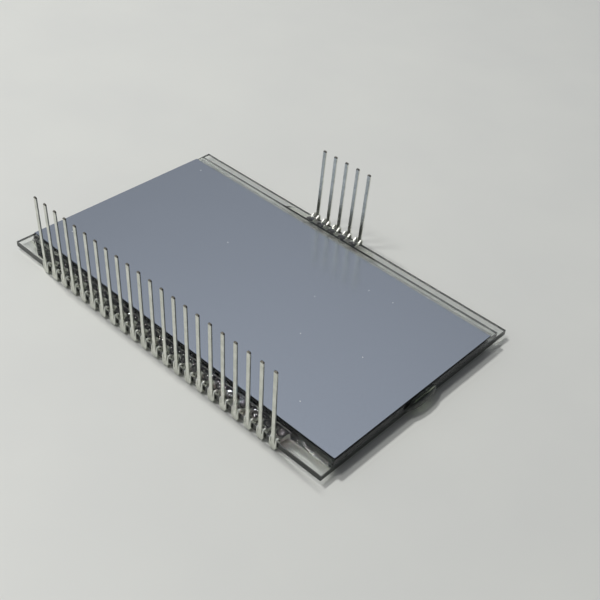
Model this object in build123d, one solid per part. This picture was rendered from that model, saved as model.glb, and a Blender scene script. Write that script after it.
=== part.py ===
from build123d import *
import math
import os

# Segment display glass with clip-on pins, lying face down with its pins up.
#
# Frame: X runs along the long edges, Y from the near side with the full row of pins to
# the far side with the short row, and Z up. The origin is on the viewing face, which is
# the outer face of the front polariser, at the middle of the larger glass in X and Y.
# All values are millimetres.

# Pin grid
pin_pitch = 2.54
near_pin_count = 22
far_pin_count = 5
far_row_first_step = 8        # the first far pin stands opposite this near pin, counted from 0
row_steps_at_tips = 18        # the two rows of tips stand on the same grid, this many steps apart

# Glass plates
front_glass_length = 71.0
front_glass_width = 44.4
glass_thickness = 1.1
near_ledge = 2.5              # bare strip of the front glass under the full pin row
far_ledge = 2.8               # bare strip under the short pin row
left_ledge = 1.4              # the right sides of both plates are flush
cell_gap = 0.05               # the real gap is a few microns, thickened here so that it is a layer
glass_edge_bevel = 0.08

# Films
front_polariser_thickness = 0.20
rear_polariser_thickness = 0.15
reflector_thickness = 0.06
film_near_inset = 0.2         # from the rear glass's edges
film_far_inset = 1.8
film_side_inset = 0.1
reflector_inset = 0.05        # the reflector foil is cut back from the polariser it is bonded to
front_film_inset = 0.4

# Seal, fill port and crossover dots inside the cell
seal_inset = 0.5
seal_width = 1.0
port_width = 4.0
port_offset = -0.4            # of the fill port from the middle of the right side
drop_width = 7.6
drop_height = 2.0
drop_bulge = 1.0
drop_bevel = 0.45
crossover_radius = 0.3
crossover_count = 2
crossover_sides = 8           # a plain form for the round dots, which nobody sees

# Stamped clip pin
strip_thickness = 0.25
lead_width = 0.65
finger_width = 0.27
slit_width = 0.105
bend_radius = 0.30            # to the middle of the strip
web_to_glass = 0.125          # from the web's inner face to the edge of the glass
slit_bottom_depth = 0.26      # below the front glass's upper face
finger_rise = 0.35            # straight part of a finger above the glass, before its bend
finger_slope_deg = 35.0       # how steeply a finger comes down on the ledge
finger_folds = 3              # a finger is so narrow that its bend is made of this many folds
tongue_width = 1.0
tongue_slope_deg = 20.0       # how steeply the tongue rises to the underside of the glass
tongue_tip_length = 0.10
web_shoulder = 0.2            # bevel where the web narrows to the tongue
clip_drop = 0.55              # from the underside of the glass down to the lowest point of the clip
lead_length = 13.8            # from the front glass's upper face to the tips
lead_straight = 0.7           # the leads lean outwards from this height above the glass
tip_bevel = 0.12

# Paste dabs and resin beads, with places across a ledge measured from the edge of the glass
paste_width = 1.8
paste_height = 0.32
paste_start = 1.0
paste_to_wall = 0.05
bead_start = 0.15             # outer foot of the bead at a clip
arch_depth = 0.9              # inner end of the open arch between two clips
clip_side_resin = 0.06        # resin on the sides of a clip, so the arch's width follows
bead_crown = 0.8              # height of the bead halfway between its foot and the wall
bead_height = 0.95            # at the wall of the rear glass
right_taper = 1.6             # length of the near bead's right end, past the side of its last clip
left_run_on = 2.3             # straight part of its left end, which then runs out at the corner
far_run_on = 3.5              # straight part of the far bead's two ends
far_taper = 2.0               # their slanted part
run_width = 1.1               # thin run of resin that crept along the wall of the rear glass
run_height = 0.35
run_end_gap = 0.15            # between the run's ends and the corners of the rear glass

# Heights, upwards from the viewing face
front_polariser_bottom = 0.0
front_glass_bottom = front_polariser_bottom + front_polariser_thickness
front_glass_top = front_glass_bottom + glass_thickness
rear_glass_bottom = front_glass_top + cell_gap
rear_glass_top = rear_glass_bottom + glass_thickness
rear_polariser_top = rear_glass_top + rear_polariser_thickness

# Edges in plan
left_edge = -front_glass_length / 2
right_edge = front_glass_length / 2
near_edge = -front_glass_width / 2
far_edge = front_glass_width / 2
rear_left = left_edge + left_ledge
rear_near = near_edge + near_ledge
rear_far = far_edge - far_ledge

# Clip values that follow from the ones above, with the web's middle plane at 0
# and the inside of the clip towards positive
clip_width = lead_width + 2 * (slit_width + finger_width)
web_middle_to_glass = web_to_glass + strip_thickness / 2
near_row_y = near_edge - web_middle_to_glass
far_row_y = far_edge + web_middle_to_glass
tip_lean = (row_steps_at_tips * pin_pitch - (far_row_y - near_row_y)) / 2

near_pin_x = [(step - (near_pin_count - 1) / 2) * pin_pitch for step in range(near_pin_count)]
far_pin_x = near_pin_x[far_row_first_step:far_row_first_step + far_pin_count]


def block(x_low, x_high, y_low, y_high, z_low, z_high):
    """A box given by its limits."""
    box = Box(x_high - x_low, y_high - y_low, z_high - z_low)
    return Pos((x_low + x_high) / 2, (y_low + y_high) / 2, (z_low + z_high) / 2) * box


def glass_plate(x_low, x_high, y_low, y_high, z_low):
    """A scribed plate, with all its long and short edges broken by a fine bevel."""
    plate = block(x_low, x_high, y_low, y_high, z_low, z_low + glass_thickness)
    flat_edges = plate.edges().filter_by(Axis.Z, reverse=True)
    return chamfer(flat_edges, glass_edge_bevel)


def strip(path, width, middle_x=0.0):
    """Metal strip that follows a path in the clip's own YZ plane."""
    ribbon = Plane.YZ * trace(path, strip_thickness)
    return Pos(middle_x, 0, 0) * extrude(ribbon, width / 2, both=True)


def bent_path(start, heading_deg, steps):
    """Tangent lines and arcs, each given as a length or as a turn in degrees."""
    path = Curve()
    point = Vector(*start)
    heading = heading_deg
    for kind, value in steps:
        direction = Vector(math.cos(math.radians(heading)), math.sin(math.radians(heading)))
        if kind == "line":
            piece = Line(point, point + direction * value)
        else:
            piece = JernArc(point, direction, bend_radius, value)
            heading += value
        path += piece
        point = piece @ 1
    return path


def finger_underside():
    """Up beside the lead, folded over the ledge and down past the glass's upper face."""
    turn = math.radians(90 + finger_slope_deg)
    inner_radius = bend_radius - strip_thickness / 2
    corner_radius = inner_radius / math.cos(turn / finger_folds / 2)
    points = [(strip_thickness / 2, -slit_bottom_depth)]
    for fold in range(finger_folds):
        angle = math.pi - turn * (fold + 0.5) / finger_folds
        points.append((bend_radius + corner_radius * math.cos(angle),
                       finger_rise + corner_radius * math.sin(angle)))
    last_y, last_z = points[-1]
    drop = last_z + strip_thickness
    points.append((last_y + drop / math.tan(math.radians(finger_slope_deg)), -strip_thickness))
    return Polyline(*points)


def fingers():
    """Both fingers, ground flat where they press on the ledge."""
    side = offset(finger_underside(), strip_thickness, kind=Kind.INTERSECTION, side=Side.LEFT)
    finger = extrude(Plane.YZ * make_face(side), finger_width / 2, both=True)
    middle = (clip_width - finger_width) / 2
    glass = block(-clip_width, clip_width, web_middle_to_glass,
                  web_middle_to_glass + max(near_ledge, far_ledge), -glass_thickness, 0)
    return Pos(middle, 0, 0) * finger + Pos(-middle, 0, 0) * finger - glass


def tongue_path():
    """Down from the web, round under the glass, up to its underside and down at the tip."""
    slope = math.radians(tongue_slope_deg)
    lowest = -glass_thickness - clip_drop + strip_thickness / 2
    bend_start = lowest + bend_radius
    rise_start = lowest + bend_radius * (1 - math.cos(slope))
    rise_end = -glass_thickness - strip_thickness / 2 - bend_radius * (1 - math.cos(slope))
    straight_web = -slit_bottom_depth - web_shoulder - bend_start
    return bent_path((0, bend_start + straight_web), -90, [
        ("line", straight_web),
        ("turn", 90 + tongue_slope_deg),
        ("line", (rise_end - rise_start) / math.sin(slope)),
        ("turn", -2 * tongue_slope_deg),
        ("line", tongue_tip_length),
    ])


def clip_web():
    """Flat middle of the clip, bevelled where it narrows to the tongue."""
    top = -slit_bottom_depth
    bottom = -glass_thickness
    wide = clip_width / 2
    narrow = tongue_width / 2
    outline = Polyline(
        (-wide, top), (wide, top), (wide, bottom + web_shoulder), (narrow, bottom),
        (-narrow, bottom), (-wide, bottom + web_shoulder), close=True)
    return extrude(Plane.XZ * make_face(outline), strip_thickness / 2, both=True)


def lead():
    """Straight lead that leans outwards to its bevelled tip."""
    run = Polyline((0, -slit_bottom_depth - strip_thickness / 2), (0, lead_straight), (-tip_lean, lead_length))
    bar = strip(run, lead_width)
    tip = bar.faces().sort_by(Axis.Z)[-1]
    side_edges = tip.edges().sort_by(Axis.X)
    return chamfer([side_edges[0], side_edges[-1]], tip_bevel)


def clip_pin():
    """One stamped pin: lead, web, two fingers over the glass and a tongue under it."""
    return clip_web() + lead() + strip(tongue_path(), tongue_width) + fingers()


def on_near_row(piece, x):
    """Places a piece made round the clip's own axes on the full row."""
    return Pos(x, near_row_y, front_glass_top) * piece


def on_far_row(piece, x):
    """Places a piece made round the clip's own axes on the short row, facing the other way."""
    return Pos(x, far_row_y, front_glass_top) * Rot(0, 0, 180) * piece


def paste_dab(ledge):
    """Dab of conductive paste round the finger tips, made in the clip's own axes."""
    start = web_middle_to_glass + paste_start
    end = web_middle_to_glass + ledge - paste_to_wall
    outline = Polyline((start, 0), (end, 0), (end, paste_height), (start + paste_height, paste_height),
                       close=True)
    return extrude(Plane.YZ * make_face(outline), paste_width / 2, both=True)


def resin_section(ledge, start):
    """Rounded section of a bead, from its outer foot to the wall of the rear glass."""
    foot = web_middle_to_glass + start
    wall = web_middle_to_glass + ledge
    outline = ThreePointArc((foot, 0), ((foot + wall) / 2, bead_crown), (wall, bead_height))
    outline += Polyline((wall, bead_height), (wall, 0), (foot, 0))
    return Plane.YZ * make_face(outline)


def open_arch(x_middle, width):
    """Cutter for the round-ended arch that the resin leaves open between two clips."""
    half = width / 2
    shoulder = web_middle_to_glass + arch_depth - half
    outline = ThreePointArc((x_middle + half, shoulder), (x_middle, shoulder + half),
                            (x_middle - half, shoulder))
    outline += Polyline((x_middle - half, shoulder), (x_middle - half, 0),
                        (x_middle + half, 0), (x_middle + half, shoulder))
    return extrude(make_face(outline), bead_height)


def resin_at_clips(ledge, pin_x):
    """Bead from the first clip to the last, open in an arch between each two clips."""
    side = clip_width / 2 + clip_side_resin
    low = pin_x[0] - side
    bead = Pos(low, 0, 0) * extrude(resin_section(ledge, bead_start), pin_x[-1] + side - low)
    for x in pin_x[:-1]:
        bead -= open_arch(x + pin_pitch / 2, pin_pitch - 2 * side)
    return bead


def bead_end(ledge, start, x_clip, run_on, taper_length):
    """The bead past its last clip: straight for a way, then cut aslant towards the wall."""
    tip = run_on + taper_length
    bar = extrude(resin_section(ledge, start), tip)
    wall = web_middle_to_glass + ledge
    foot = Vector(run_on, web_middle_to_glass + start, 0)
    along_foot = Vector(tip, wall, 0) - foot
    along_top = Vector(tip - bead_height, wall, bead_height) - foot
    slant = Plane(origin=foot, x_dir=along_foot, z_dir=along_foot.cross(along_top))
    return Pos(x_clip + clip_width / 2, 0, 0) * split(bar, bisect_by=slant, keep=Keep.BOTTOM)


def resin_run(ledge, x_low, x_high):
    """Thin run of resin along the foot of the rear glass's wall."""
    wall = web_middle_to_glass + ledge
    outline = Polyline((wall - run_width, 0), (wall, 0), (wall, run_height), close=True)
    return Pos(x_low, 0, 0) * extrude(Plane.YZ * make_face(outline), x_high - x_low)


def front_polariser():
    return block(rear_left + front_film_inset, right_edge - front_film_inset,
                 rear_near + film_near_inset, rear_far - film_far_inset,
                 front_polariser_bottom, front_glass_bottom)


def rear_film(inset, z_low, z_high):
    """A film on the back of the rear glass."""
    return block(rear_left + film_side_inset + inset, right_edge - film_side_inset - inset,
                 rear_near + film_near_inset + inset, rear_far - film_far_inset - inset,
                 z_low, z_high)


def fill_port():
    """The gap left in the seal for filling the cell."""
    return block(right_edge - seal_inset - seal_width, right_edge,
                 port_offset - port_width / 2, port_offset + port_width / 2,
                 front_glass_top, rear_glass_bottom)


def crossover_dots():
    """Silver dots that carry the far pins' lines up to the rear glass."""
    dots = Part()
    seal_middle_y = rear_far - seal_inset - seal_width / 2
    for x in far_pin_x[:crossover_count]:
        spot = extrude(RegularPolygon(crossover_radius, crossover_sides), cell_gap)
        dots += Pos(x, seal_middle_y, front_glass_top) * spot
    return dots


def edge_seal():
    """Frame of sealant between the plates, open at the fill port."""
    outer = block(rear_left + seal_inset, right_edge - seal_inset, rear_near + seal_inset,
                  rear_far - seal_inset, front_glass_top, rear_glass_bottom)
    return outer - crystal_layer() - fill_port() - crossover_dots()


def crystal_layer():
    """Liquid crystal that fills the cell inside the seal."""
    margin = seal_inset + seal_width
    return block(rear_left + margin, right_edge - margin, rear_near + margin, rear_far - margin,
                 front_glass_top, rear_glass_bottom)


def fill_seal():
    """Drop of sealing resin over the fill port, with its neck inside the port."""
    plan_radius = (drop_width ** 2 / 4 + drop_bulge ** 2) / (2 * drop_bulge)
    disc = Cylinder(plan_radius, drop_height)
    disc = chamfer(disc.edges().filter_by(GeomType.CIRCLE), drop_bevel)
    cell_middle = (front_glass_top + rear_glass_bottom) / 2
    drop = Pos(right_edge + drop_bulge - plan_radius, port_offset, cell_middle) * disc
    outside = block(right_edge, right_edge + drop_width, port_offset - drop_width,
                    port_offset + drop_width, front_glass_bottom, rear_glass_top)
    return (drop & outside) + fill_port()


def build_parts():
    """Every sub-part, by the name of its node."""
    parts = {}
    pin = clip_pin()
    for number, x in enumerate(near_pin_x, start=1):
        parts[f"pin_near_{number:02d}"] = on_near_row(pin, x)
    for number, x in enumerate(far_pin_x, start=1):
        parts[f"pin_far_{number:02d}"] = on_far_row(pin, x)

    parts["front_glass"] = glass_plate(left_edge, right_edge, near_edge, far_edge, front_glass_bottom)
    parts["rear_glass"] = glass_plate(rear_left, right_edge, rear_near, rear_far, rear_glass_bottom)
    parts["front_polariser"] = front_polariser()
    parts["rear_polariser"] = rear_film(0, rear_glass_top, rear_polariser_top)
    parts["reflector_foil"] = rear_film(reflector_inset, rear_polariser_top,
                                        rear_polariser_top + reflector_thickness)
    parts["edge_seal"] = edge_seal()
    parts["crystal_layer"] = crystal_layer()
    parts["crossover_dots"] = crossover_dots()
    parts["fill_seal"] = fill_seal()

    near_dab = paste_dab(near_ledge) - pin
    far_dab = paste_dab(far_ledge) - pin
    parts["paste_near"] = Compound(children=[on_near_row(near_dab, x) for x in near_pin_x])
    parts["paste_far"] = Compound(children=[on_far_row(far_dab, x) for x in far_pin_x])

    run_low = rear_left + run_end_gap
    run_high = right_edge - run_end_gap
    near_bead = resin_at_clips(near_ledge, near_pin_x)
    near_bead += bead_end(near_ledge, arch_depth, near_pin_x[-1], 0, right_taper)
    left_taper = near_pin_x[0] - clip_width / 2 - left_run_on - run_low
    left_end = bead_end(near_ledge, bead_start, -near_pin_x[0], left_run_on, left_taper)
    near_bead += mirror(left_end, Plane.YZ)
    near_bead += resin_run(near_ledge, run_low, run_high)

    turned_pin_x = [-x for x in reversed(far_pin_x)]
    far_bead = resin_at_clips(far_ledge, turned_pin_x)
    far_bead += bead_end(far_ledge, arch_depth, turned_pin_x[-1], far_run_on, far_taper)
    other_end = bead_end(far_ledge, arch_depth, -turned_pin_x[0], far_run_on, far_taper)
    far_bead += mirror(other_end, Plane.YZ)
    for x in near_pin_x:
        near_bead -= Pos(x, 0, 0) * (pin + paste_dab(near_ledge))
    for x in turned_pin_x:
        far_bead -= Pos(x, 0, 0) * (pin + paste_dab(far_ledge))
    parts["resin_near"] = on_near_row(near_bead, 0)
    parts["resin_far"] = on_far_row(far_bead, 0)
    return parts


os.makedirs("parts", exist_ok=True)
for node, shape in build_parts().items():
    export_step(shape, f"parts/{node}.step")
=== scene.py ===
# %% [markdown]
# This scene dresses a segment display that lies face down on a pale table, its clip-on pins
# pointing up. Its solids already have the right shapes and sizes. What is left for the scene
# is how light meets glass, foil, tinned metal and clear resin, and the soft forms of the
# resin and the paste, which are poured and dabbed rather than machined.
#
# The first cell loads the solids as a fixed frame and keeps their overall box.

# %% Load the frame
import math
import random
import bmesh
import bpy
from mathutils import Matrix, Vector, noise


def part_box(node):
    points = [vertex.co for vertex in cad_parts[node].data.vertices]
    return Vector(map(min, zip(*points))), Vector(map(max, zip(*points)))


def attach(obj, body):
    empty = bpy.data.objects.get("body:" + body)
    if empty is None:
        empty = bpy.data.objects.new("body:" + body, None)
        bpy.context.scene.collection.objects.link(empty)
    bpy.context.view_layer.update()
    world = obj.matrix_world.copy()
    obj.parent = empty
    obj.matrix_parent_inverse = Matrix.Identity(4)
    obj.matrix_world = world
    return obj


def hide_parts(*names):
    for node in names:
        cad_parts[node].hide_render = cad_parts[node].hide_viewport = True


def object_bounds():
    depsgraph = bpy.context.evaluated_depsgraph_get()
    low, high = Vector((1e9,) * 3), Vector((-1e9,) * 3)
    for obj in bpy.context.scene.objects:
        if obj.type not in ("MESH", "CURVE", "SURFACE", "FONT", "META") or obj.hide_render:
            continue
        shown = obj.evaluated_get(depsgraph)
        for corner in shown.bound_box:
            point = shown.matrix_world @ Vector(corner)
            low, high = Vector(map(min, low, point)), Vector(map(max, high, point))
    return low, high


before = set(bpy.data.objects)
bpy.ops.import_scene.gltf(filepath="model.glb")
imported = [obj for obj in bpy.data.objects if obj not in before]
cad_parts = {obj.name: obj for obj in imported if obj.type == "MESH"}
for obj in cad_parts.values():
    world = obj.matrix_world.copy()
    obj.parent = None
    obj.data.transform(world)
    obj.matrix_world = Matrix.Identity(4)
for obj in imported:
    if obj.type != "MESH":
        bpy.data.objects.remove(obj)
cad_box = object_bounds()
print("frame loaded with", len(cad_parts), "solids")

# %% [markdown]
# Every place in this scene is worked out from the boxes of the solids. The display's own
# levels and edges get plain names here. Blender works in metres, so one millimetre has a
# name too, and the small sizes further down stay readable.

# %% Levels and edges of the display
mm = 0.001
front_low, front_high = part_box("front_glass")
rear_low, rear_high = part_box("rear_glass")
ledge_level = front_high.z
table_level = cad_box[0][2]
near_names = sorted(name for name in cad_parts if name.startswith("pin_near"))
far_names = sorted(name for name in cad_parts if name.startswith("pin_far"))


def middle_x(node):
    """Middle of a solid along the rows of pins."""
    low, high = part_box(node)
    return (low.x + high.x) / 2


near_x = [middle_x(name) for name in near_names]
far_x = [middle_x(name) for name in far_names]
clip_low, clip_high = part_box(near_names[0])
clip_half = (clip_high.x - clip_low.x) / 2
print("pins in the rows:", len(near_x), len(far_x), "ledge at", round(ledge_level / mm, 3), "mm")

# %% [markdown]
# Materials in Blender are small graphs of nodes. A few helpers keep the cells short: one
# turns a screen colour into the linear numbers that the shader wants, one gives a node's
# inputs their values or links, one adds a node, one starts a material around a single main
# shader, and the last one makes a colour from a pattern. Patterns read object coordinates,
# which are metres here, so a pattern's scale is one divided by its real size.

# %% Helpers for materials


def linear(hex_colour):
    """A screen colour such as #9299A5 as linear red, green, blue and alpha."""
    values = []
    for start in (1, 3, 5):
        part = int(hex_colour[start:start + 2], 16) / 255
        values.append(part / 12.92 if part <= 0.04045 else ((part + 0.055) / 1.055) ** 2.4)
    return (*values, 1.0)


def feed(node, inputs):
    """Gives each input a value, or a link from a socket or from the first output of a node."""
    for name, value in inputs.items():
        if isinstance(value, bpy.types.Node):
            value = next(socket for socket in value.outputs if socket.enabled)
        if isinstance(value, bpy.types.NodeSocket):
            node.id_data.links.new(value, node.inputs[name])
        else:
            node.inputs[name].default_value = value


def add_node(tree, kind, inputs=None, **settings):
    """Adds a node with its settings and then feeds its inputs."""
    node = tree.nodes.new(kind)
    for name, value in settings.items():
        setattr(node, name, value)
    feed(node, inputs or {})
    return node


def new_material(name, inputs):
    """A material with one main shader, set from the given inputs."""
    material = bpy.data.materials.new(name)
    material.use_nodes = True
    tree = material.node_tree
    tree.nodes.clear()
    shader = add_node(tree, "ShaderNodeBsdfPrincipled", inputs)
    add_node(tree, "ShaderNodeOutputMaterial", {"Surface": shader})
    place = add_node(tree, "ShaderNodeTexCoord").outputs["Object"]
    return material, tree, shader, place


def two_tone(tree, pattern, dark, light, half_range=0.2):
    """Colour that goes from dark to light over the middle part of a pattern's range."""
    share = add_node(tree, "ShaderNodeMapRange", {
        "Value": pattern, "From Min": 0.5 - half_range, "From Max": 0.5 + half_range})
    return add_node(tree, "ShaderNodeMix", {
        "Factor": share, "A": linear(dark), "B": linear(light)}, data_type="RGBA")


print("screen grey #808080 is", round(linear("#808080")[0], 3), "in linear light")

# %% [markdown]
# Lamp light that passes through clear glass or resin is hard for a path tracer to find, and
# without help everything under a glass plate stays a little too dark. A usual remedy is a mix
# with a transparent shader that only the shadow rays meet. Its colour says how much of the
# light is helped through, and here a small part is enough, since the rest is found anyway.

# %% Helper for clear materials
glass_help = "#6E706E"
resin_help = "#7A7B78"


def let_lamps_through(material, tint):
    """Lets a part of the light of lamps pass straight through a clear material."""
    tree = material.node_tree
    output = next(node for node in tree.nodes if node.type == "OUTPUT_MATERIAL")
    seen = output.inputs["Surface"].links[0].from_socket
    clear = add_node(tree, "ShaderNodeBsdfTransparent", {"Color": linear(tint)})
    to_lamp = add_node(tree, "ShaderNodeLightPath").outputs["Is Shadow Ray"]
    feed(output, {"Surface": add_node(tree, "ShaderNodeMixShader", {0: to_lamp, 1: seen, 2: clear})})


print("light helped through glass:", round(linear(glass_help)[1], 2), "of it")

# %% [markdown]
# Tin-plated bronze strip: the pins are stamped from thin rolled strip and plated with bright
# tin. Rolled strip keeps fine marks along its length, which run up each pin and turn a sharp
# mirror image into a soft vertical streak. Noise that is stretched along the pin gives both
# the marks and the slight differences in gloss. The tips were cut off the strip after the
# plating, so bare and tarnished bronze shows there as a small dark cap.

# %% Tin-plated pins
roll_mark_width = 0.05 * mm
roll_mark_length = 3 * mm
roll_mark_depth = 0.003 * mm
cloud_size = 1.5 * mm
cap_height = 0.3 * mm
cap_fade = 0.1 * mm
tip_level = clip_high.z

pin_tin, tree, shader, place = new_material("tin_plated_bronze", {"Metallic": 1.0})
along_pin = add_node(tree, "ShaderNodeMapping", {
    "Vector": place, "Scale": (1 / roll_mark_width, 1 / roll_mark_width, 1 / roll_mark_length)})
marks = add_node(tree, "ShaderNodeTexNoise", {"Vector": along_pin, "Scale": 1.0, "Detail": 2.0})
clouds = add_node(tree, "ShaderNodeTexNoise", {
    "Vector": place, "Scale": 1 / cloud_size, "Detail": 3.0})
plated = two_tone(tree, clouds, "#CFD1C8", "#E3E4DC", half_range=0.15)
cap = add_node(tree, "ShaderNodeMapRange", {
    "Value": add_node(tree, "ShaderNodeSeparateXYZ", {"Vector": place}).outputs["Z"],
    "From Min": tip_level - cap_height, "From Max": tip_level - cap_height + cap_fade})
feed(shader, {
    "Base Color": add_node(tree, "ShaderNodeMix", {
        "Factor": cap, "A": plated, "B": linear("#76736B")}, data_type="RGBA"),
    "Roughness": add_node(tree, "ShaderNodeMapRange", {
        "Value": marks, "From Min": 0.3, "From Max": 0.7, "To Min": 0.2, "To Max": 0.36}),
    "Normal": add_node(tree, "ShaderNodeBump", {
        "Height": marks, "Distance": roll_mark_depth, "Strength": 0.6})})
print("made", pin_tin.name)

# %% [markdown]
# Soda-lime float glass: both plates are cut from thin polished sheet, with an index of
# refraction of 1.52 and the faint green of its iron. The faces are optically smooth. The
# scribed and broken edges are not: they carry fine vertical ripples. The node graph tells
# the two apart by the way a face points. The edges also carry painted shade: a darker colour
# than the faces, and on the front plate so little clearness that its edges look nearly black,
# as little light finds its way out through them.

# %% Float glass
ripple_width = 0.8 * mm
ripple_height = 3 * mm
ripple_depth = 0.005 * mm


def float_glass(name, tint, edge_shade_colour, edge_roughness, shaded_edge_clearness):
    """Clear glass with smooth faces, and rougher, rippled cut edges that carry a painted shade."""
    material, tree, shader, place = new_material(name, {"IOR": 1.52, "Transmission Weight": 1.0})
    normal = add_node(tree, "ShaderNodeNewGeometry").outputs["Normal"]
    facing = add_node(tree, "ShaderNodeSeparateXYZ", {"Vector": normal}).outputs["Z"]
    upright = add_node(tree, "ShaderNodeMath", {0: facing}, operation="ABSOLUTE")
    edge = add_node(tree, "ShaderNodeMapRange", {
        "Value": upright, "From Min": 0.4, "From Max": 0.8, "To Min": 1.0, "To Max": 0.0})
    ripple_place = add_node(tree, "ShaderNodeMapping", {
        "Vector": place, "Scale": (1 / ripple_width, 1 / ripple_width, 1 / ripple_height)})
    ripples = add_node(tree, "ShaderNodeTexNoise", {
        "Vector": ripple_place, "Scale": 1.0, "Detail": 2.0})
    relief = add_node(tree, "ShaderNodeMath", {0: ripples, 1: edge}, operation="MULTIPLY")
    # Painted shade: the edges get a darker colour than the faces, and less clearness where asked.
    feed(shader, {
        "Base Color": add_node(tree, "ShaderNodeMix", {
            "Factor": edge, "A": linear(tint), "B": linear(edge_shade_colour)}, data_type="RGBA"),
        "Roughness": add_node(tree, "ShaderNodeMath", {
            0: edge, 1: edge_roughness}, operation="MULTIPLY"),
        "Normal": add_node(tree, "ShaderNodeBump", {
            "Height": relief, "Distance": ripple_depth, "Strength": 0.3})})
    if shaded_edge_clearness < 1:
        feed(shader, {"Transmission Weight": add_node(tree, "ShaderNodeMapRange", {
            "Value": edge, "To Min": 1.0, "To Max": shaded_edge_clearness})})
    let_lamps_through(material, glass_help)
    return material


# The front plate's edges get a nearly black painted shade and little clearness, the rear plate's a
# light grey painted shade.
front_plate_glass = float_glass("float_glass_front", "#FDFEFD", "#2A2E2A", 0.1, 0.12)
rear_plate_glass = float_glass("float_glass_rear", "#FDFEFD", "#E4E8E4", 0.05, 1.0)
print("made", front_plate_glass.name, "and", rear_plate_glass.name)

# %% [markdown]
# Reflector foil: a plastic film with a very thin aluminium coat, pressed with a fine satin
# finish so that it spreads the light evenly. It is the large grey-blue face in the picture.
# A metal shader of middling roughness gives the soft, drawn-out reflections of the pins, and
# two scales of noise give the pearly grain. The real grain is finer than a pixel, so it is
# drawn at 0.12 mm to show at all. A few specks of dust lie on the foil too. They come from a
# cell pattern with one point in each cell, of which only a small part is kept.

# %% Satin reflector foil
grain_size = 0.12 * mm
grain_depth = 0.003 * mm
wave_size = 9 * mm
dust_spacing = 5 * mm
dust_share = 0.07
dust_radius = 0.09 * mm / dust_spacing
dust_core = 0.6 * dust_radius

foil, tree, shader, place = new_material("satin_aluminised_film", {"Metallic": 1.0})
grain = add_node(tree, "ShaderNodeTexNoise", {
    "Vector": place, "Scale": 1 / grain_size, "Detail": 1.0})
waves = add_node(tree, "ShaderNodeTexNoise", {
    "Vector": place, "Scale": 1 / wave_size, "Detail": 2.0})
cells = add_node(tree, "ShaderNodeTexVoronoi", {
    "Vector": place, "Scale": 1 / dust_spacing}, voronoi_dimensions="2D")
at_point = add_node(tree, "ShaderNodeMapRange", {
    "Value": cells.outputs["Distance"], "From Min": dust_core, "From Max": dust_radius,
    "To Min": 1.0, "To Max": 0.0})
chance = add_node(tree, "ShaderNodeSeparateColor", {"Color": cells.outputs["Color"]}).outputs["Red"]
kept = add_node(tree, "ShaderNodeMath", {0: chance, 1: 1 - dust_share}, operation="GREATER_THAN")
dust = add_node(tree, "ShaderNodeMath", {0: at_point, 1: kept}, operation="MULTIPLY")
satin = add_node(tree, "ShaderNodeMapRange", {
    "Value": waves, "From Min": 0.3, "From Max": 0.7, "To Min": 0.175, "To Max": 0.185})
feed(shader, {
    "Base Color": add_node(tree, "ShaderNodeMix", {
        "Factor": dust, "A": two_tone(tree, grain, "#CDD5E1", "#D6DEE9"),
        "B": linear("#E9EAE8")}, data_type="RGBA"),
    "Metallic": add_node(tree, "ShaderNodeMath", {0: 1.0, 1: dust}, operation="SUBTRACT"),
    "Roughness": add_node(tree, "ShaderNodeMath", {0: satin, 1: dust}, operation="MAXIMUM"),
    "Normal": add_node(tree, "ShaderNodeBump", {
        "Height": grain, "Distance": grain_depth, "Strength": 0.5})})
print("made", foil.name)

# %% [markdown]
# Polariser film: stretched and dyed plastic between clear carrier sheets. On its own it is a
# dark neutral grey with a smooth gloss. The front one is the face that a reader looks at, and
# from that side the light that the foil sends back through the cell gives it the silvery
# green-grey of an unpowered display. Here that light is a painted reflection: a paler colour
# on the reader's side only. Seen from inside the glass it is simply dark, so the node graph
# asks which way a face points.

# %% Polariser films
fibre_length = 6 * mm
fibre_width = 0.4 * mm
fibre_depth = 1 * mm


def polariser(name, roughness):
    """Start of a film's material, with the faint fibres that stretching left in the plastic."""
    material, tree, shader, place = new_material(name, {"Roughness": roughness, "IOR": 1.49})
    along_film = add_node(tree, "ShaderNodeMapping", {
        "Vector": place, "Scale": (1 / fibre_length, 1 / fibre_width, 1 / fibre_depth)})
    fibres = add_node(tree, "ShaderNodeTexNoise", {
        "Vector": along_film, "Scale": 1.0, "Detail": 2.0})
    return material, tree, shader, fibres


dark_film, tree, shader, fibres = polariser("dyed_polariser_film", 0.2)
feed(shader, {"Base Color": add_node(tree, "ShaderNodeMix", {
    "Factor": fibres, "A": linear("#08090A"), "B": linear("#101214")}, data_type="RGBA")})

viewing_film, tree, shader, fibres = polariser("polariser_viewing_face", 0.12)
# Painted reflection: the paler green-grey stands in for the light that comes back through the cell.
painted_cell_light = add_node(tree, "ShaderNodeMix", {
    "Factor": fibres, "A": linear("#8B9185"), "B": linear("#949A8D")}, data_type="RGBA")
normal = add_node(tree, "ShaderNodeNewGeometry").outputs["Normal"]
reader_side = add_node(tree, "ShaderNodeMapRange", {
    "Value": add_node(tree, "ShaderNodeSeparateXYZ", {"Vector": normal}).outputs["Z"],
    "From Min": -0.6, "From Max": -0.4, "To Min": 1.0, "To Max": 0.0})
feed(shader, {"Base Color": add_node(tree, "ShaderNodeMix", {
    "Factor": reader_side, "A": linear("#0B0C0D"), "B": painted_cell_light}, data_type="RGBA")})
print("made", dark_film.name, "and", viewing_film.name)

# %% [markdown]
# Inside the cell there are three more things: the cured epoxy frame that seals the plates
# together, the liquid crystal, and two small silver dots that join the plates' electrodes.
# They show only as a thin line along the clear strip beside the foil, so they need little
# more than the right tone and a little unevenness. The black carbon paste under the clips is
# made the same way.

# %% Sealant, liquid crystal, silver dots and paste


def speckled(name, dark, light, size, inputs, detail=2.0):
    """Opaque or clear material whose colour varies a little at a real size in metres."""
    material, tree, shader, place = new_material(name, inputs)
    spots = add_node(tree, "ShaderNodeTexNoise", {
        "Vector": place, "Scale": 1 / size, "Detail": detail})
    feed(shader, {"Base Color": two_tone(tree, spots, dark, light)})
    return material


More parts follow.
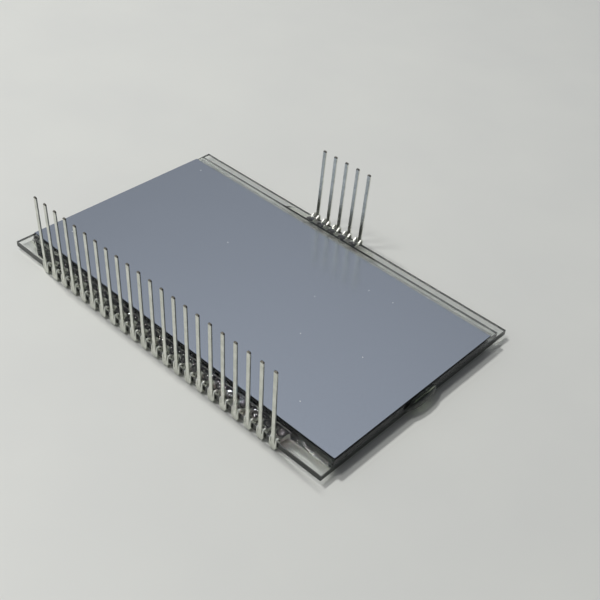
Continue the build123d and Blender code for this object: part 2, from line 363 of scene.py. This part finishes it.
seal_epoxy = speckled("cured_epoxy_seal", "#C6CAC8", "#D2D6D3", 0.6 * mm, {
    "Roughness": 0.4, "Alpha": 0.3})
crystal = speckled("liquid_crystal", "#B9BFC4", "#C2C8CC", 4 * mm, {
    "Roughness": 0.3, "Alpha": 0.15})
silver_paste = speckled("cured_silver_paste", "#8E8E8C", "#A6A6A3", 0.1 * mm, {
    "Roughness": 0.45, "Metallic": 0.7})
carbon_paste = speckled("conductive_carbon_paste", "#060606", "#121212", 0.15 * mm, {
    "Roughness": 0.5})
print("made", seal_epoxy.name, crystal.name, silver_paste.name, carbon_paste.name)

# %% [markdown]
# Clear acrylate resin: it is dispensed wet along the clips and hardened with ultraviolet
# light, which leaves a glassy skin. Its index of refraction of 1.50 is close to that of the
# glass, and it has a slight yellow-green tint. The skin is never quite even, so a gentle bump
# breaks the reflection of the lamps into the many small glints that the pins sit in.
#
# Where the resin runs out thin, its rounded edge catches the lamps. That is a painted highlight
# here: a pale, partly clear rim draws the arches between the clips and the long line beside the
# rear glass. The drop on the fill port gets a much darker tint than the bead, which is painted
# shade.

# %% Clear resin


def clear_resin(name, tint, wave_length, wave_depth):
    """Clear resin whose skin has waves of a real length and depth in metres."""
    material, tree, shader, place = new_material(name, {
        "Base Color": linear(tint), "Transmission Weight": 1.0, "IOR": 1.5, "Roughness": 0.02})
    skin = add_node(tree, "ShaderNodeTexNoise", {
        "Vector": place, "Scale": 1 / wave_length, "Detail": 2.0})
    feed(shader, {"Normal": add_node(tree, "ShaderNodeBump", {
        "Height": skin, "Distance": wave_depth, "Strength": 0.5})})
    let_lamps_through(material, resin_help)
    return material


bead_resin = clear_resin("uv_cured_acrylate_resin", "#FAFBF5", 0.35 * mm, 0.1 * mm)
# Painted shade: the drop's tint is much darker than the bead's, which darkens the whole drop.
shaded_drop_resin = clear_resin("uv_cured_acrylate_drop", "#A3AD99", 2 * mm, 0.01 * mm)
# Painted highlight: a pale, partly clear finish for the bright rim where thin resin catches the lamps.
painted_rim_highlight = speckled("uv_cured_acrylate_rim", "#C6CABC", "#DADDD1", 0.5 * mm, {
    "Transmission Weight": 0.3, "IOR": 1.5, "Roughness": 0.2})
print("made", bead_resin.name, shaded_drop_resin.name, painted_rim_highlight.name)

# %% [markdown]
# The solids that already look right keep their meshes and only get a material. A small loop
# puts the new finish in the solid's material slots.

# %% Finishes for the solids that stay


def finish_solid(node, material):
    """Puts a material in every slot of a solid that stays as it is."""
    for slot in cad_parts[node].material_slots:
        slot.material = material


finish_solid("front_glass", front_plate_glass)
finish_solid("rear_glass", rear_plate_glass)
finish_solid("reflector_foil", foil)
print("finished three solids in place")

# %% [markdown]
# New pieces share the same last steps: the mesh gets its material, rides on the display's
# one body, and stands for the solid that it replaces. The mesh is built where it belongs, so
# the object stays at the origin.

# %% Helpers for new pieces
merge_distance = 0.0005 * mm


def add_piece(name, mesh_data, material, replaced, smooth=True):
    """Turns a finished bmesh into a piece of the display."""
    mesh = bpy.data.meshes.new(name)
    mesh_data.to_mesh(mesh)
    mesh_data.free()
    mesh.materials.append(material)
    for face in mesh.polygons:
        face.use_smooth = smooth
    piece = bpy.data.objects.new(name, mesh)
    bpy.context.scene.collection.objects.link(piece)
    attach(piece, "root")
    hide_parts(*replaced)
    print(name, "has", len(mesh.polygons), "faces")
    return piece


def copy_of(node):
    """A bmesh of a solid, with the loose corners of its triangles joined."""
    mesh_data = bmesh.new()
    mesh_data.from_mesh(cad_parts[node].data)
    bmesh.ops.remove_doubles(mesh_data, verts=mesh_data.verts, dist=merge_distance)
    return mesh_data


# %% [markdown]
# Films are bonded to glass with clear glue, so there is no air between them and light passes
# straight from one into the other. Two faces at exactly the same height can't show that. The
# copies of the films therefore reach a few microns into the glass that they are bonded to,
# and a ray inside the glass meets the film first.

# %% Films and cell layers
bond_depth = 0.004 * mm


def bonded_copy(name, node, material, down, up):
    """Copy of a flat solid whose lower and upper faces reach into their neighbours."""
    mesh_data = copy_of(node)
    low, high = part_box(node)
    for vert in mesh_data.verts:
        vert.co.z += up if vert.co.z > (low.z + high.z) / 2 else -down
    add_piece(name, mesh_data, material, [node], smooth=False)


bonded_copy("viewing_polariser", "front_polariser", viewing_film, 0, bond_depth)
bonded_copy("back_polariser", "rear_polariser", dark_film, bond_depth, 0)
bonded_copy("seal_frame", "edge_seal", seal_epoxy, bond_depth, bond_depth)
bonded_copy("crystal_film", "crystal_layer", crystal, 0, 0)
bonded_copy("silver_dots", "crossover_dots", silver_paste, bond_depth, bond_depth)

# %% [markdown]
# The pins are sheared from strip and tumbled before plating, so no edge is quite sharp. A
# bevel of a few hundredths of a millimetre rounds them, and each edge then catches its own
# thin line of light. The solids' flat triangles are first dissolved into whole faces, since
# a bevel would otherwise round the diagonals too.

# %% Pins with rounded edges
edge_round = 0.03 * mm
flat_angle = math.radians(2)
sharp_angle = math.radians(50)


def rounded_pin(node):
    """Copy of a pin whose sharp edges are rounded."""
    mesh_data = copy_of(node)
    bmesh.ops.dissolve_limit(mesh_data, angle_limit=flat_angle, verts=mesh_data.verts,
                             edges=mesh_data.edges)
    sharp = [edge for edge in mesh_data.edges
             if len(edge.link_faces) == 2 and edge.calc_face_angle() > sharp_angle]
    bmesh.ops.bevel(mesh_data, geom=sharp, offset=edge_round, offset_type="OFFSET", segments=2,
                    profile=0.5, affect="EDGES", clamp_overlap=True, material=-1)
    bmesh.ops.recalc_face_normals(mesh_data, faces=mesh_data.faces)
    name = node.replace("pin", "tinned_pin")
    add_piece(name, mesh_data, pin_tin, [node], smooth=False)


for pin_name in near_names + far_names:
    rounded_pin(pin_name)

# %% [markdown]
# Conductive paste is dabbed on the ledge before the clips go on, one dab for each pin. Each
# dab is a low rounded heap. A sphere that is flattened and cut off at the glass is the whole
# shape, and a seeded random number makes no two of them quite alike.

# %% Paste dabs
random.seed(5)
narrowest_share = 0.88
lowest_share = 0.85
dab_shift = 0.05 * mm


def paste_dabs(name, node, pin_x, widest):
    """Rounded heaps of paste along one row, with the width of the widest one."""
    low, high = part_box(node)
    depth = high.y - low.y
    height = high.z - low.z
    mesh_data = bmesh.new()
    for x in pin_x:
        heap = bmesh.ops.create_uvsphere(mesh_data, u_segments=24, v_segments=14, radius=1.0)
        half_width = widest / 2 * random.uniform(narrowest_share, 1.0)
        centre_x = x + dab_shift * random.uniform(-1, 1)
        half_height = height * random.uniform(lowest_share, 1.0)
        place = Matrix.Translation((centre_x, (low.y + high.y) / 2, ledge_level))
        size = Matrix.Diagonal((half_width, depth / 2, half_height, 1))
        bmesh.ops.transform(mesh_data, matrix=place @ size, verts=heap["verts"])
    everything = mesh_data.verts[:] + mesh_data.edges[:] + mesh_data.faces[:]
    bmesh.ops.bisect_plane(mesh_data, geom=everything, plane_co=(0, 0, ledge_level - bond_depth),
                           plane_no=(0, 0, 1), clear_inner=True)
    rims = [edge for edge in mesh_data.edges if edge.is_boundary]
    bmesh.ops.edgenet_fill(mesh_data, edges=rims)
    bmesh.ops.recalc_face_normals(mesh_data, faces=mesh_data.faces)
    add_piece(name, mesh_data, carbon_paste, [node])


paste_dabs("near_paste_dabs", "paste_near", near_x, widest=1.8 * mm)
paste_dabs("far_paste_dabs", "paste_far", far_x, widest=1.6 * mm)

# %% [markdown]
# The resin is the one truly free form here. It flowed along the ledge, crept up to the wall
# of the rear glass and out along each clip, and left a round-ended arch open between each two
# clips. A flat grid is laid along the ledge and its outer line is bent to those arches. Each
# vertex is then lifted by the height that the resin has at that distance from the outer line,
# and the sheet is closed with a flat underside.

# %% The resin's sizes
bead_start = 0.15 * mm
bead_crown = 0.8 * mm
bead_height = 0.95 * mm
bead_rise = 0.4 * mm
arch_depth = 1.25 * mm
beside_clip = 0.06 * mm
arch_half = (near_x[1] - near_x[0]) / 2 - clip_half - beside_clip
arch_fullness = 2.4
run_width = 0.84 * mm
run_height = 0.35 * mm
run_hollow = 1.6
highlight_rim_width = 0.13 * mm
thinnest = 0.012 * mm


def crown_height(distance, ledge):
    """Height of the round bead at a distance from the edge of the glass."""
    half = (ledge - bead_start) / 2
    along = (distance - bead_start - half) / half
    middle = bead_crown - bead_height / 2
    return bead_height * (along + 1) / 2 + middle * (1 - along * along)


def arch_line(x, pin_x):
    """Distance of the resin's outer line from the edge of the glass, between two clips."""
    gap = min(abs(x - (one + two) / 2) for one, two in zip(pin_x, pin_x[1:]))
    reach = gap / arch_half
    if reach >= 1:
        return bead_start
    return bead_start + (arch_depth - bead_start) * (1 - reach ** arch_fullness) ** (1 / arch_fullness)


print("arches between the clips are", round(2 * arch_half / mm, 2), "mm wide")

# %% [markdown]
# The beads' ends differ. The near bead runs out in a long taper towards the left corner of
# the rear glass, ends soon after the last clip at the right, and a thin run of resin follows
# the wall for the whole length. The far bead has the same short rounded end at both sides.
# One function gives the outer line for any place along a row, from those few lengths.

# %% The outer line of a bead
end_round = 0.45 * mm
lump_length = 0.9 * mm
lump_width = 0.6 * mm
lump_share = 0.12
sunk_share = 0.04


def ease(value):
    """Smooth step from 0 to 1."""
    value = min(max(value, 0.0), 1.0)
    return value * value * (3 - 2 * value)


def outer_line(x, pin_x, ledge, left, right):
    """Outer line of a bead at x. An end is its straight length, its taper and its first distance."""
    if pin_x[0] - clip_half <= x <= pin_x[-1] + clip_half:
        return arch_line(x, pin_x)
    straight, taper, first = left if x < pin_x[0] else right
    past = pin_x[0] - clip_half - x if x < pin_x[0] else x - pin_x[-1] - clip_half
    start = first + (bead_start - first) * (1 - ease(past / end_round))
    slide = min(max((past - straight) / taper, 0.0), 1.0)
    return start + (ledge - start) * slide


def resin_height(x, distance, line, ledge, seed):
    """Height of the resin over the ledge, from the bead, the run and a little unevenness."""
    rise = min(max((distance - line) / bead_rise, 0.0), 1.0)
    bead = crown_height(distance, ledge) * math.sqrt(1 - (1 - rise) ** 2)
    lump = noise.noise(Vector((x / lump_length, distance / lump_width, seed)))
    bead *= 1 - lump_share * abs(lump) - sunk_share
    beyond = (distance - (ledge - run_width)) / run_width
    run = run_height * max(beyond, 0.0) ** run_hollow
    return max(bead, run, thinnest)


near_edge, near_wall = front_low.y, rear_low.y
far_edge, far_wall = front_high.y, rear_high.y
print("near ledge is", round((near_wall - near_edge) / mm, 2), "mm wide,",
      "far ledge", round((far_edge - far_wall) / mm, 2), "mm")

# %% [markdown]
# The sheet of resin itself: a grid is created, its columns are spaced evenly along the row,
# and its rows are pressed between the outer line and the wall, closer together near the line,
# where the resin rises steeply. Extruding the whole sheet down to the glass gives it a flat
# underside and closes it. On the near bead the faces along the outer line, at the arches and
# the run, get the pale finish of a painted highlight.

# %% Resin beads
column_width = 0.09 * mm
rows = 16
row_crowding = 1.3
least_width = 0.05 * mm


def resin_bead(name, node, pin_x, edge_y, wall_y, left, right, has_run, seed):
    """A bead of resin on one ledge, from end to end."""
    low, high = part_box(node)
    ledge = abs(wall_y - edge_y)
    inward = 1 if wall_y > edge_y else -1

    def sheet_line(x):
        """Where the sheet starts at x: the bead's outer line, or the run's if that is lower."""
        line = min(outer_line(x, pin_x, ledge, left, right), ledge - least_width)
        return min(line, ledge - run_width) if has_run else line

    mesh_data = bmesh.new()
    columns = round((high.x - low.x) / column_width)
    bmesh.ops.create_grid(mesh_data, x_segments=columns, y_segments=rows, size=1.0)
    for vert in mesh_data.verts:
        x = low.x + (high.x - low.x) * (vert.co.x + 1) / 2
        across = (vert.co.y + 1) / 2
        line = sheet_line(x)
        distance = line + (ledge - line) * across ** row_crowding
        bead_line = outer_line(x, pin_x, ledge, left, right)
        height = resin_height(x, distance, bead_line, ledge, seed)
        vert.co = (x, edge_y + inward * distance, ledge_level + height)
    # Painted highlight: faces along the sheet's outer line, at the arches and the run, take the pale
    # finish of slot 1.
    if has_run:
        for face in mesh_data.faces:
            centre = face.calc_center_median()
            distance = abs(centre.y - edge_y)
            beside = (centre.x - highlight_rim_width / 2, centre.x, centre.x + highlight_rim_width / 2)
            farthest_line = max(sheet_line(x) for x in beside)
            face.material_index = 1 if distance < farthest_line + highlight_rim_width else 0
    shell = bmesh.ops.extrude_face_region(mesh_data, geom=mesh_data.faces[:])
    for item in shell["geom"]:
        if isinstance(item, bmesh.types.BMVert):
            item.co.z = ledge_level - bond_depth
    for face in mesh_data.faces:
        if all(vert.co.z < ledge_level for vert in face.verts):
            face.material_index = 0
    bmesh.ops.recalc_face_normals(mesh_data, faces=mesh_data.faces)
    bead = add_piece(name, mesh_data, bead_resin, [node])
    bead.data.materials.append(painted_rim_highlight)


near_straight = 2.3 * mm
near_left_end = (near_straight, near_x[0] - clip_half - near_straight - rear_low.x, bead_start)
near_right_end = (0.0, 1.6 * mm, arch_depth)
far_end = (3.5 * mm, 2.0 * mm, arch_depth)
resin_bead("near_resin_bead", "resin_near", near_x, near_edge, near_wall, near_left_end,
           near_right_end, has_run=True, seed=3.1)
resin_bead("far_resin_bead", "resin_far", far_x, far_edge, far_wall, far_end, far_end,
           has_run=False, seed=8.4)

# %% [markdown]
# The fill port is sealed with a drop of the same kind of resin. It hangs on the cut edges of
# both plates like a lens. Half of a stretched sphere has just that form, and its neck is a
# shallow block that fills the gap in the seal.

# %% Drop on the fill port
port_width = 4.0 * mm
drop_low, drop_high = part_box("fill_seal")
drop_middle = (drop_low + drop_high) / 2
drop_half = (drop_high - drop_low) / 2
side_x = front_high.x

drop_mesh = bmesh.new()
ball = bmesh.ops.create_uvsphere(drop_mesh, u_segments=64, v_segments=32, radius=1.0)
drop_place = Matrix.Translation((side_x, drop_middle.y, drop_middle.z))
drop_size = Matrix.Diagonal((drop_high.x - side_x, drop_half.y, drop_half.z, 1))
bmesh.ops.transform(drop_mesh, matrix=drop_place @ drop_size, verts=ball["verts"])
everything = drop_mesh.verts[:] + drop_mesh.edges[:] + drop_mesh.faces[:]
bmesh.ops.bisect_plane(drop_mesh, geom=everything, plane_co=(side_x - bond_depth, 0, 0),
                       plane_no=(1, 0, 0), clear_inner=True)
rim = [edge for edge in drop_mesh.edges if edge.is_boundary]
bmesh.ops.edgenet_fill(drop_mesh, edges=rim)

neck = bmesh.ops.create_cube(drop_mesh, size=1.0)
neck_level = (ledge_level + rear_low.z) / 2
neck_place = Matrix.Translation(((drop_low.x + side_x) / 2, drop_middle.y, neck_level))
neck_size = Matrix.Diagonal((side_x - drop_low.x, port_width, rear_low.z - ledge_level, 1))
bmesh.ops.transform(drop_mesh, matrix=neck_place @ neck_size, verts=neck["verts"])
bmesh.ops.recalc_face_normals(drop_mesh, faces=drop_mesh.faces)
add_piece("fill_drop", drop_mesh, shaded_drop_resin, ["fill_seal"])

# %% [markdown]
# The display lies on a plain pale table, which isn't part of the object. A sheet of matt
# laminate is never one flat tone: a very weak mottle keeps it from looking like an empty
# background.

# %% Table
table_half = 1.5
table_top = speckled("matt_pale_laminate", "#D4D5D1", "#D8D9D4", 25 * mm, {
    "Roughness": 0.55}, detail=4.0)
table_mesh = bmesh.new()
bmesh.ops.create_grid(table_mesh, x_segments=1, y_segments=1, size=table_half)
bmesh.ops.translate(table_mesh, verts=table_mesh.verts, vec=(0, 0, table_level))
table_data = bpy.data.meshes.new("table")
table_mesh.to_mesh(table_data)
table_mesh.free()
table_data.materials.append(table_top)
table = bpy.data.objects.new("table", table_data)
bpy.context.scene.collection.objects.link(table)
print("table at", round(table_level / mm, 3), "mm")

# %% [markdown]
# The light is that of a dim room with two lamps. The shadows tell where they are: the foil's
# corner throws one dark, short shadow to the right and a second, paler one that reaches a
# little further and towards the back. The stronger lamp is therefore high on the left, the
# weaker one higher still and towards the viewer. The room itself mostly shows in mirrors. The
# foil mirrors one part of it behind the display, so that part is a broad and slightly lighter
# patch. The far pins mirror the foil, and through it a pale place on the viewer's left. Low
# down the room is pale all round, which keeps the far end of the table from going dark.

# %% The room
world = bpy.data.worlds.new("room")
bpy.context.scene.world = world
world.use_nodes = True
room = world.node_tree
room.nodes.clear()
look = add_node(room, "ShaderNodeTexCoord").outputs["Object"]


def glow_patch(way, edge, middle, from_level, to_level):
    """A round patch of the room that gets lighter towards the middle of a given direction."""
    likeness = add_node(room, "ShaderNodeVectorMath", {0: look, 1: Vector(way).normalized()},
                        operation="DOT_PRODUCT")
    return add_node(room, "ShaderNodeMapRange", {
        "Value": likeness, "From Min": edge, "From Max": middle,
        "To Min": from_level, "To Max": to_level})


level = glow_patch((-0.50, 0.588, 0.637), 0.45, 0.90, 0.08, 0.26)
upper_patch = glow_patch((-0.40, 0.42, 0.81), 0.90, 1.0, 0.0, 0.18)
side_patch = glow_patch((-0.56, -0.66, 0.62), 0.80, 0.93, 0.0, 0.38)
skirting = add_node(room, "ShaderNodeMapRange", {
    "Value": add_node(room, "ShaderNodeSeparateXYZ", {"Vector": look}).outputs["Z"],
    "From Min": 0.05, "From Max": 0.5, "To Min": 0.5, "To Max": 0.0})
for patch in (upper_patch, side_patch, skirting):
    level = add_node(room, "ShaderNodeMath", {0: level, 1: patch}, operation="ADD")
glow = add_node(room, "ShaderNodeBackground", {"Color": linear("#F4F8FF"), "Strength": level})
add_node(room, "ShaderNodeOutputWorld", {"Surface": glow})
print("room has", len(room.nodes), "nodes")

# %% [markdown]
# Each lamp is a small square area lamp that looks at the middle of the display. Its size sets
# how soft the edges of the shadows are: a few centimetres, seen from about sixty centimetres
# away, keep them as crisp as in the picture.

# %% Lamps
lamp_distance = 0.62
lamp_colour = linear("#FFFEFC")[:3]


def soft_lamp(name, direction, size, power):
    """A square lamp in metres and watts. Its direction is seen from the middle of the display."""
    light = bpy.data.lights.new(name, "AREA")
    light.shape = "SQUARE"
    light.size = size
    light.energy = power
    light.color = lamp_colour
    lamp = bpy.data.objects.new(name, light)
    lamp.location = Vector(direction).normalized() * lamp_distance
    lamp.rotation_euler = (-lamp.location).to_track_quat("-Z", "Y").to_euler()
    bpy.context.scene.collection.objects.link(lamp)
    print(name, "at", [round(value, 2) for value in lamp.location], "m")


soft_lamp("main_lamp", (-0.57, -0.04, 1.0), size=0.05, power=2.0)
soft_lamp("second_lamp", (-0.28, -0.34, 1.0), size=0.08, power=0.86)

# %% [markdown]
# The camera stands where the photograph was taken from. Its place, its aim and its slight
# tilt come from a fit of the display's own corners and pin tips to their places in the
# picture, which also gives the focal length. The tilt is a turn about the line of sight.

# %% Camera
camera_place = Vector((87.06, -90.58, 102.33)) * mm
camera_aim = Vector((7.97, 2.70, 1.30)) * mm
camera_tilt = math.radians(5.04)
forward = (camera_aim - camera_place).normalized()
level_right = forward.cross(Vector((0, 0, 1))).normalized()
level_up = level_right.cross(forward)
right = level_right * math.cos(camera_tilt) + level_up * math.sin(camera_tilt)
up = right.cross(forward)
turn = Matrix((right, up, -forward)).transposed().to_4x4()
camera_data = bpy.data.cameras.new("camera")
camera_data.sensor_width = 36
camera_data.lens = 58.0
camera_data.clip_start = 0.005
camera = bpy.data.objects.new("camera", camera_data)
camera.matrix_world = Matrix.Translation(camera_place) @ turn
bpy.context.scene.collection.objects.link(camera)
bpy.context.scene.camera = camera
bpy.context.scene.view_settings.view_transform = "Standard"
print("camera at", [round(value / mm, 1) for value in camera_place], "mm")
